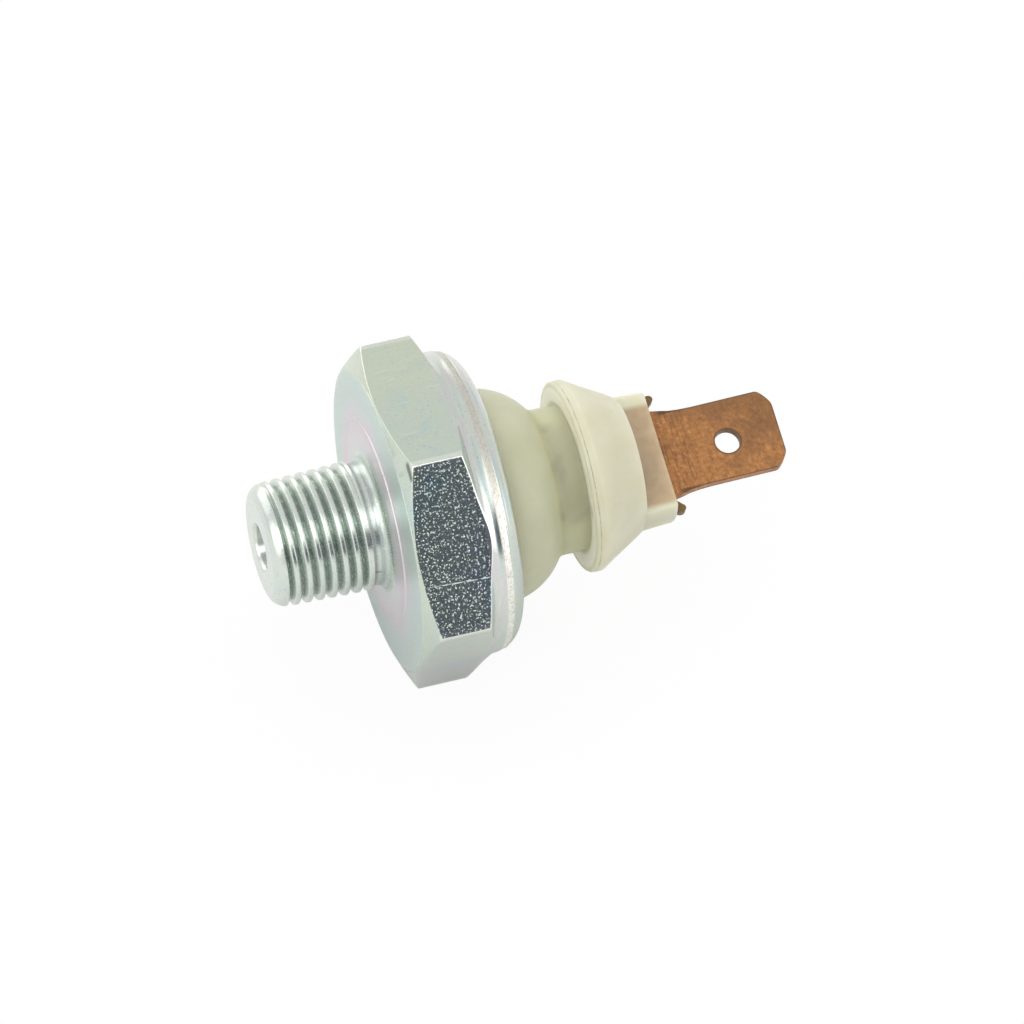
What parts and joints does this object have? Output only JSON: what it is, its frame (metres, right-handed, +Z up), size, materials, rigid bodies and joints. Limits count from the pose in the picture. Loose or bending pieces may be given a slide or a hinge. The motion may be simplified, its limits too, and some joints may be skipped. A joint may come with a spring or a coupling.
{
  "type": "oil pressure sender",
  "caption": "Screw-in oil pressure sender: hexagonal zinc-plated housing with a tapered threaded stub, crimped collar, moulded insulating cap and a flat blade terminal.",
  "frame": {"origin": "centre of the bounding box at the height of the flat that the sender lies on", "axes": "+X along the sender's axis from the threaded stub to the blade terminal, +Z up, away from the flat that it lies on"},
  "size_m": [0.0418, 0.0278, 0.024],
  "materials": {
    "zinc_plated_steel": "turned, zinc plated and passivated, slightly iridescent",
    "seal_rubber": "matt",
    "diaphragm_film": "amber film",
    "contact_brass": "pressed",
    "plunger_resin": "moulded",
    "spring_wire": "drawn",
    "seat_steel": "turned",
    "natural_nylon": "moulded, translucent, satin",
    "tarnished_copper": "stamped strip, tarnished"
  },
  "bodies": {
    "sender": {"housing": "zinc_plated_steel", "sealing_ring": "seal_rubber", "diaphragm": "diaphragm_film", "contact_ring": "contact_brass", "spring": "spring_wire", "spring_seat": "seat_steel", "cap": "natural_nylon", "terminal": "tarnished_copper"},
    "switch": {"plunger": "plunger_resin", "moving_contact": "contact_brass"}
  },
  "joints": [
    {"name": "switch_slide", "type": "slide", "parent": "sender", "child": "switch", "axis": [1, 0, 0], "range_m": [0, 0.0004], "stiffness_N_per_m": 1600, "deforming": ["spring", "diaphragm"]}
  ]
}
